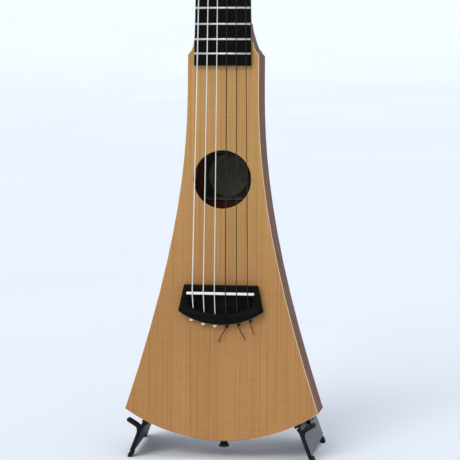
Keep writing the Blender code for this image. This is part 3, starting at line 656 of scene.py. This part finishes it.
def bored(obj, radius, places, front, back):
    """Cuts round holes through a plate in the head's frame, and keeps the result as its mesh."""

    def build(shape):
        for x, z in places:
            axis = Matrix.Translation((x, 0, z)) @ Matrix.Rotation(math.pi / 2, 4, "X")
            add_turned(shape, [(radius, -back), (radius, -front)], steps=28, axis=axis)

    cutter = mesh_object(f"{obj.name}_bores", build)
    for piece in (obj, cutter):
        bpy.context.scene.collection.objects.link(piece)
    modifier = obj.modifiers.new("bores", "BOOLEAN")
    modifier.object = cutter
    bpy.context.view_layer.update()
    evaluated = obj.evaluated_get(bpy.context.evaluated_depsgraph_get())
    mesh = bpy.data.meshes.new_from_object(evaluated)
    name = obj.name
    bpy.data.objects.remove(obj)
    bpy.data.objects.remove(cutter)
    mesh.shade_smooth()
    mesh.set_sharp_from_angle(angle=math.radians(40))
    return bpy.data.objects.new(name, mesh)


def post_holes():
    return [(side * x, z) for side in (-1, 1) for x, z in POST_PLACES]


def make_head_paddle(mahogany):
    paddle = mesh_object("head_paddle", lambda shape: add_slab(shape, head_outline(), 0, HEAD_THICKNESS))
    paddle = bored(paddle, POST_RADIUS + GAP, post_holes(), front=-0.01, back=0.03)
    soften(paddle, 0.0012)
    link(paddle, HEAD, "guitar", mahogany)


def string_x(index, pitch):
    return (index - 2.5) * pitch


def string_hole(index):
    """Where a string enters the tie block and leaves the bridge's lower edge."""
    entry_x = string_x(index, STRING_PITCH_SADDLE)
    exit_x = entry_x * STRING_FAN
    inner_radius = BRIDGE_ARC_RADIUS - TIE_BLOCK_LENGTH
    entry_z = BRIDGE_ARC_CENTRE - math.sqrt(inner_radius**2 - entry_x**2)
    exit_z = BRIDGE_ARC_CENTRE - math.sqrt(BRIDGE_ARC_RADIUS**2 - exit_x**2)
    return Vector((entry_x, -HOLE_ENTRY_LIFT, entry_z)), Vector((exit_x, -HOLE_EXIT_LIFT, exit_z))


def head_point(x, y, z):
    return Matrix.Rotation(-HEAD_TILT, 3, "X") @ Vector((x, y, z)) + Vector((0, 0, HEAD_BASE))


def string_route(index):
    """A string's centre line: out of the bridge, over saddle and nut, and round its post."""
    radius = STRING_RADII[index]
    lift = radius + GAP
    side = -1 if index < 3 else 1
    post_x, post_z = POST_PLACES[index if index < 3 else 5 - index]
    entry, exit_point = string_hole(index)
    run = (exit_point - entry).normalized()
    saddle_x = string_x(index, STRING_PITCH_SADDLE)
    nut_x = string_x(index, STRING_PITCH_NUT)
    points = [exit_point + run * STUB_OUT, exit_point, entry, entry - run * STUB_IN]
    for step in range(SADDLE_WRAP_STEPS + 1):
        angle = math.radians(-SADDLE_WRAP_DEGREES + SADDLE_WRAP_DEGREES * step / SADDLE_WRAP_STEPS)
        reach = SADDLE_HALF_THICKNESS + lift
        depth = -SADDLE_TOP + SADDLE_HALF_THICKNESS - reach * math.cos(angle)
        points.append(Vector((saddle_x, depth, reach * math.sin(angle))))
    points.append(Vector((nut_x, -NUT_TOP - lift, SCALE_LENGTH)))
    points.append(Vector((nut_x, -NUT_TOP - lift, STRING_OFF_NUT)))
    winding = POST_RADIUS + lift
    pitch = 2 * radius + GAP
    start_angle = 0 if side < 0 else math.pi
    for step in range(COIL_STEPS + 1):
        turn = 2 * math.pi * COIL_TURNS * step / COIL_STEPS
        angle = start_angle - side * turn
        x = side * post_x + winding * math.cos(angle)
        depth = -COIL_DEPTH + pitch * turn / (2 * math.pi)
        points.append(head_point(x, depth, post_z + winding * math.sin(angle)))
    return points


def make_strings(wound, nylon):
    for index, radius in enumerate(STRING_RADII):
        number = index + 1
        string = path_curve(f"fine_string_{number}", string_route(index), radius)
        look, slot = (wound, "wound_string") if index < 3 else (nylon, "nylon_string")
        link(string, GUITAR, "guitar", look, replaced=(f"string_{number}",))


def make_beads(bead):
    """Ring-shaped beads that hold the wound strings' ends below the bridge."""
    outer, hole, half = 0.0021, 0.0009, 0.0016
    profile = [
        (hole, -half * 0.8),
        (hole + 0.0003, -half),
        (outer - 0.0006, -half * 0.9),
        (outer, -half * 0.3),
    ]
    profile += [(radius, -height) for radius, height in reversed(profile)]
    for index in range(3):
        entry, exit_point = string_hole(index)
        run = (exit_point - entry).normalized()
        centre = exit_point + run * half
        axis = Matrix.Translation(centre) @ run.to_track_quat("Z", "Y").to_matrix().to_4x4()

        def build(shape):
            add_turned(shape, profile, steps=24, axis=axis)

        piece = mesh_object(f"string_bead_{index + 1}", build, smooth_angle=60)
        link(piece, GUITAR, "guitar", bead)


def knot_route(index, tail):
    """A string's few turns round itself below the bridge, and its loose tail, arched off the wood."""
    turns, steps, length, waist, belly = 2.6, 34, 0.0030, 0.0010, 0.0005
    entry, exit_point = string_hole(index)
    run = (exit_point - entry).normalized()
    sideways = Vector((1, 0, 0)).cross(run).normalized()
    centre = exit_point + run * 0.0026
    points = [exit_point + run * 0.0002, exit_point + run * 0.0010]
    for step in range(steps + 1):
        angle = 2 * math.pi * turns * step / steps
        swell = waist + belly * math.sin(math.pi * step / steps)
        along = run * (length * (step / steps - 0.5))
        spoke = Vector((1, 0, 0)) * math.cos(angle) + sideways * math.sin(angle)
        points.append(centre + along + spoke * swell)
    start = points[-1]
    middle = (start + tail) / 2 + Vector((0, -0.0018, 0.0006))
    rise = start.lerp(middle, 0.5) + Vector((0, -0.0006, 0))
    return points + [rise, middle, middle.lerp(tail, 0.6), tail]


def make_knots(nylon):
    """Knots on the nylon strings below the bridge, each with a short loose tail."""
    tails = ((-0.0028, -0.0016, -0.0529), (0.0264, -0.0016, -0.0500), (0.0354, -0.0016, -0.0437))
    for index, tail in enumerate(tails, 3):
        route = knot_route(index, Vector(tail))
        knot = path_curve(f"string_knot_{index + 1}", route, STRING_RADII[index], resolution=2, smooth=True)
        link(knot, GUITAR, "guitar", nylon)


def add_curled_sheet(shape, half_width, half_height, depth):
    """A paper sheet whose edges lift a little, as a grid of faces."""
    count, lift = 14, 0.0005
    for row in range(count):
        for column in range(count):
            corners = []
            for a, b in ((0, 0), (1, 0), (1, 1), (0, 1)):
                across = 2 * (column + a) / count - 1
                up = 2 * (row + b) / count - 1
                curl = lift * (abs(across) ** 6 + abs(up) ** 6)
                corners.append(shape.verts.new((half_width * across, depth - curl, half_height * up)))
            shape.faces.new(corners)
    bmesh.ops.remove_doubles(shape, verts=shape.verts, dist=0.00001)


def make_label(paper, light_pool, ink):
    """The dark label glued inside on the back: a double frame line, a lighter oval that is a painted pool
    of light from the soundhole, and no lettering.
    """
    half_width, half_height = 0.0270, 0.0275
    oval_width, oval_height, oval_steps = 0.0215, 0.0235, 48
    surface = BODY_DEPTH - PLATE_THICKNESS - GAP - 0.0001
    place = GUITAR @ Matrix.Translation((-0.0005, 0, LABEL_Z))

    def build(shape):
        add_curled_sheet(shape, half_width, half_height, surface)

    label = mesh_object("paper_label", build)
    thickness = label.modifiers.new("thickness", "SOLIDIFY")
    thickness.thickness = 0.00012
    link(label, place, "guitar", paper)

    # Painted light: the lighter oval stands in for the light that falls through the soundhole onto the
    # label.
    turns = [step / oval_steps * math.tau for step in range(oval_steps)]
    ellipse = [(oval_width * math.cos(turn), oval_height * math.sin(turn)) for turn in turns]
    near, far = surface - 0.0007, surface - 0.0005
    oval = mesh_object("label_light_oval", lambda shape: add_slab(shape, ellipse, near, far))
    link(oval, place, "guitar", light_pool)
    for number, inset in enumerate((0.0008, 0.0024), 1):
        x, z = half_width - inset, half_height - inset
        corners = [(-x, -z), (x, -z), (x, z), (-x, z), (-x, -z)]
        points = [Vector((a, surface - 0.0012, b)) for a, b in corners]
        line = path_curve(f"label_frame_{number}", points, 0.00028, resolution=1)
        link(line, place, "guitar", ink)


def add_wedge(shape, side, low, high, front, deep):
    """A lining block against the side wall: thick at its plate, at front, and thinning away from it."""
    rings = []
    for height in (low, high):
        wall = curve_half(height, SIDE_CURVE) - 0.0026
        points = [(wall, 0), (wall - 0.0050, 0), (wall - 0.0050, 0.0025), (wall, 0.0105)]
        rings.append(add_ring(shape, [(side * x, front + deep * y, height) for x, y in points]))
    bridge_rings(shape, rings)


def make_lining(wood):
    """Kerfed lining: rows of small wedge blocks that stiffen the joint of the sides to both plates."""
    pitch, block, bottom, top, clearance = 0.0052, 0.0046, -0.112, 0.236, 0.0004
    at_top_plate = (PLATE_THICKNESS + clearance, 1)
    at_back_plate = (BODY_DEPTH - PLATE_THICKNESS - clearance, -1)

    def build(shape):
        for side in (-1, 1):
            for step in range(math.floor((top - bottom) / pitch) + 1):
                low = bottom + pitch * step
                for front, deep in (at_top_plate, at_back_plate):
                    add_wedge(shape, side, low, low + block, front, deep)

    lining = mesh_object("kerfed_lining", build)
    link(lining, GUITAR, "guitar", wood)


def make_back_brace(wood):
    """A rounded bar across the back's inner face, scalloped down towards its ends."""
    half, low, steps = 0.058, -0.010, 24
    straight, scallop = 0.7, 0.75
    outline = [(0.0, 0.0), (0.0, -0.0060), (0.0035, -0.0100), (0.0070, -0.0060), (0.0070, 0.0)]
    back = BODY_DEPTH - PLATE_THICKNESS - GAP - 0.0002

    def build(shape):
        rings = []
        for step in range(steps + 1):
            x = half * (2 * step / steps - 1)
            fade = 1 - scallop * max(abs(x) / half - straight, 0) / (1 - straight)
            rings.append(add_ring(shape, [(x, back + y * fade, low + z) for z, y in outline]))
        bridge_rings(shape, rings)

    link(mesh_object("back_brace", build), GUITAR, "guitar", wood)


# The tuners


def wheel_outline(teeth, root, tip):
    points = []
    for step in range(teeth):
        for share, radius in ((0.0, root), (0.22, root), (0.36, tip), (0.64, tip), (0.78, root)):
            angle = 2 * math.pi * (step + share) / teeth
            points.append((radius * math.cos(angle), radius * math.sin(angle)))
    return points


def make_posts(metal):
    """Each string post: a grooved shaft through the head, a toothed wheel behind it, and a front collar."""
    wheel_front = TUNER_FACE + 0.0010
    shaft = [
        (0.0018, 0.0130),
        (0.0026, 0.0129),
        (0.0030, 0.0122),
        (0.0030, 0.0112),
        (0.0027, 0.0102),
        (0.0027, 0.0060),
        (0.0030, 0.0050),
        (0.0030, -wheel_front - 0.0002),
    ]
    cap = [(0.0030, 0.0002), (0.0030, -0.0040), (0.0022, -0.0046), (0.0008, -0.0048)]
    collar = [(0.0032, 0.0011), (0.0048, 0.0009), (0.0046, 0.0002), (0.0032, 0.0)]
    wheel_teeth, wheel_root, wheel_tip = 14, 0.0052, 0.0060

    def build(shape):
        add_turned(shape, shaft)
        rings = []
        for height, inset in ((0.0, 0.0002), (-0.0004, 0.0), (-0.0036, 0.0), (-0.0040, 0.0002)):
            outline = wheel_outline(wheel_teeth, wheel_root - inset, wheel_tip - inset)
            rings.append(add_ring(shape, [(x, y, height - wheel_front) for x, y in outline]))
        bridge_rings(shape, rings)
        add_turned(shape, [(radius, height - wheel_front) for radius, height in cap], steps=24)
        add_turned(shape, [(radius, height + 0.0004) for radius, height in collar], steps=32)

    for side, label in ((-1, "left"), (1, "right")):
        for number, (x, z) in enumerate(POST_PLACES, 1):
            place = HEAD @ Matrix.Translation((side * x, 0, z)) @ Matrix.Rotation(math.pi / 2, 4, "X")
            post = mesh_object(f"{label}_string_post_{number}", build)
            body = f"{label}_post_{number}"
            link(post, place, body, metal, replaced=(body,))


def add_worm_thread(shape):
    """A thread that climbs round the shaft, wide at its root and narrow at its tip."""
    turns, steps, pitch, start = 5, 18, 0.0014, 0.0021
    root_radius, tip_radius, half_root, narrowing = 0.0015, 0.0028, 0.00042, 0.4
    rise = Vector((0, 0, half_root))
    rings = []
    for step in range(turns * steps + 1):
        angle = 2 * math.pi * step / steps
        spoke = Vector((math.cos(angle), math.sin(angle), 0))
        centre = Vector((0, 0, start + pitch * step / steps))
        root, tip = spoke * root_radius, spoke * tip_radius
        corners = (root - rise, tip - rise * narrowing, tip + rise * narrowing, root + rise)
        rings.append(add_ring(shape, [centre + corner for corner in corners]))
    bridge_rings(shape, rings)


def make_knobs(metal, pearl):
    """Each knob: a shaft with its worm thread, a ferrule, and an oval button."""
    shaft = [
        (0.0008, 0.0),
        (0.0016, 0.0002),
        (0.0018, 0.0006),
        (0.0018, 0.0222),
        (0.0030, 0.0224),
        (0.0032, 0.0230),
        (0.0032, 0.0238),
        (0.0022, 0.0242),
    ]
    button = [
        (0.0030, 0.0234),
        (0.0046, 0.0240),
        (0.0062, 0.0262),
        (0.0068, 0.0295),
        (0.0066, 0.0325),
        (0.0056, 0.0346),
        (0.0038, 0.0357),
        (0.0016, 0.0360),
    ]

    def build_shaft(shape):
        add_turned(shape, shaft, steps=28)
        add_worm_thread(shape)

    def build_button(shape):
        add_turned(shape, button, steps=36, across=0.62)

    for side, label in ((-1, "left"), (1, "right")):
        for number, (_, z) in enumerate(POST_PLACES, 1):
            seat = Matrix.Translation((side * TUNER_AXIS, WORM_DEPTH, z + WORM_RISE))
            place = HEAD @ seat @ Matrix.Rotation(side * math.pi / 2, 4, "Y")
            body = f"{label}_knob_{number}"
            shaft_piece = mesh_object(f"{label}_worm_shaft_{number}", build_shaft)
            link(shaft_piece, place, body, metal)
            button_piece = mesh_object(f"{label}_button_{number}", build_button, smooth_angle=60)
            replaced = (f"{label}_tuning_knob_{number}",)
            link(button_piece, place, body, pearl, replaced=replaced)


def make_tuner_screws(metal):
    """Four small domed screws, each with a dimple in its middle, on either tuner plate."""
    dome = [
        (0.0017, -0.0003),
        (0.0017, 0.0002),
        (0.0014, 0.0006),
        (0.0008, 0.0008),
        (0.0006, 0.0004),
    ]

    def build(shape):
        for side in (-1, 1):
            for z in (0.0165, 0.0445, 0.0765, 0.1035):
                seat = Matrix.Translation((side * TUNER_AXIS, TUNER_FACE, z))
                add_turned(shape, dome, steps=20, axis=seat @ Matrix.Rotation(-math.pi / 2, 4, "X"))

    link(mesh_object("tuner_screws", build), HEAD, "guitar", metal)


# CAD nodes that keep their shape


def dress(names, material, bevel=0.0, segments=3, angle=35):
    """Gives CAD nodes their material, and round edges where a bevel is asked for."""
    for name in names:
        obj = weld_node(name, angle)
        if bevel:
            soften(obj, bevel, segments, angle=30)
        if not obj.material_slots:
            obj.data.materials.append(material)
        for slot in obj.material_slots:
            slot.material = material


def dress_nodes(looks):
    both = ("left", "right")
    dress(["soundboard"], looks["spruce"], 0.0011)
    dress(["sides"], looks["mahogany"], 0.0006)
    dress(["back_plate"], looks["back"], 0.0006)
    dress(["neck_block", "end_block"], looks["mahogany"])
    dress(["upper_top_brace", "lower_top_brace"], looks["brace"])
    dress(["fretboard"], looks["black_wood"], 0.0003, 2)
    dress(["bridge"], looks["black_wood"])
    dress(["nut", "saddle"], looks["bone"])
    dress([f"fret_{number:02d}" for number in range(1, 16)], looks["fret"], angle=50)
    dress(["end_pin"], looks["pin"])
    dress([f"{side}_tuner_plate" for side in both], looks["tuner"], 0.0002, 2)
    dress(["left_leg"], looks["left_plate"], 0.0009)
    dress(["right_leg"], looks["right_plate"], 0.0009)
    dress(["hinge_pin", "hinge_nut"], looks["bolt"], 0.0003, 2)
    for part in ("rest_pad", "back_pad", "front_foot", "rear_foot"):
        dress([f"{side}_{part}" for side in both], looks["rubber"])


# Studio and camera


def make_studio():
    """A pale floor that sweeps up into a pale backdrop."""
    half_width, near, bend, rise = 14.0, -14.0, 9.0, 9.0
    radius, steps = 3.0, 24

    def build(shape):
        profile = [(near, 0.0), (0.0, 0.0), (bend - radius, 0.0)]
        for step in range(1, steps + 1):
            angle = math.pi / 2 * step / steps
            profile.append((bend - radius + radius * math.sin(angle), radius - radius * math.cos(angle)))
        profile.append((bend, rise))
        rows = [[shape.verts.new((x, y, z)) for x in (-half_width, half_width)] for y, z in profile]
        for lower, upper in zip(rows, rows[1:]):
            shape.faces.new((lower[0], lower[1], upper[1], upper[0]))

    floor = mesh_object("studio_floor", build)
    bpy.context.scene.collection.objects.link(floor)
    floor.data.materials.append(studio_look("pale_paper", (0.815, 0.85, 0.91), 0.85))


def add_sun(name, direction, strength, softness, colour):
    """A sun lamp that shines along direction, softness degrees wide."""
    data = bpy.data.lights.new(name, "SUN")
    data.energy = strength
    data.angle = math.radians(softness)
    data.color = colour
    light = bpy.data.objects.new(name, data)
    light.rotation_euler = Vector(direction).to_track_quat("-Z", "Y").to_euler()
    bpy.context.scene.collection.objects.link(light)


def make_lights():
    world = bpy.data.worlds.new("studio")
    bpy.context.scene.world = world
    world.use_nodes = True
    sky = world.node_tree.nodes["Background"]
    sky.inputs["Color"].default_value = (0.86, 0.93, 1.0, 1)
    sky.inputs["Strength"].default_value = 0.62
    add_sun("key", (0.8, 1.5, -1.55), strength=1.3, softness=32, colour=(1.0, 0.98, 0.95))
    add_sun("top", (-0.1, 0.1, -2.1), strength=0.6, softness=30, colour=(0.97, 0.98, 1.0))


def make_camera():
    data = bpy.data.cameras.new("camera")
    data.sensor_width = CAMERA_SENSOR
    data.lens = CAMERA_LENS
    data.clip_end = 50
    camera = bpy.data.objects.new("camera", data)
    camera.location = CAMERA_PLACE
    camera.rotation_euler = [math.radians(degrees) for degrees in CAMERA_TURN]
    bpy.context.scene.collection.objects.link(camera)
    bpy.context.scene.camera = camera


def main():
    looks = {
        "spruce": spruce_look("top_wood", painted_shade=True),
        "brace": spruce_look("brace_wood", edge_and_highlight_colour=(0.50, 0.30, 0.13)),
        "mahogany": mahogany_look("body_mahogany"),
        "back": mahogany_look("back_mahogany_inside_shade", inside=-INTO),
        "black_wood": black_wood_look("ebonised_wood"),
        "bone": bone_look(),
        "fret": metal_look("fret_wire", (0.97, 0.95, 0.89), 0.58),
        "tuner": metal_look("tuner_nickel", (0.70, 0.68, 0.63), 0.24),
        "bolt": metal_look("blackened_bolt", (0.10, 0.10, 0.11), 0.36),
        "pin": moulded_look("end_pin_plastic", (0.012, 0.012, 0.013), 0.22),
        # The stand plates as lit and shaded copies: each paints its outward side grey as a painted sheen.
        "left_plate": plate_look("left", -1),
        "right_plate": plate_look("right", 1),
        "rubber": rubber_look(),
    }
    neck_wood = mahogany_look("neck_mahogany", leaned=False)
    inner_wood = spruce_look("lining_wood", leaned=False, edge_and_highlight_colour=(0.50, 0.30, 0.13))
    wound = wound_look()
    nylon = nylon_look()
    dress_nodes(looks)
    make_neck(neck_wood)
    make_strings(wound, nylon)
    make_beads(bead_look())
    make_knots(nylon)
    make_label(
        paper_look("label_paper", (0.042, 0.038, 0.032)),
        # The second paper colours the oval, a painted pool of light.
        paper_look("label_light_pool", (0.130, 0.120, 0.098)),
        paper_look("label_lines", (0.420, 0.430, 0.390)),
    )
    make_lining(inner_wood)
    make_back_brace(inner_wood)
    make_posts(looks["tuner"])
    make_knobs(looks["tuner"], moulded_look("pearl_button", (0.74, 0.71, 0.63), 0.25))
    make_tuner_screws(looks["tuner"])
    make_studio()
    make_lights()
    make_camera()
    bpy.context.scene.view_settings.view_transform = "Standard"


main()
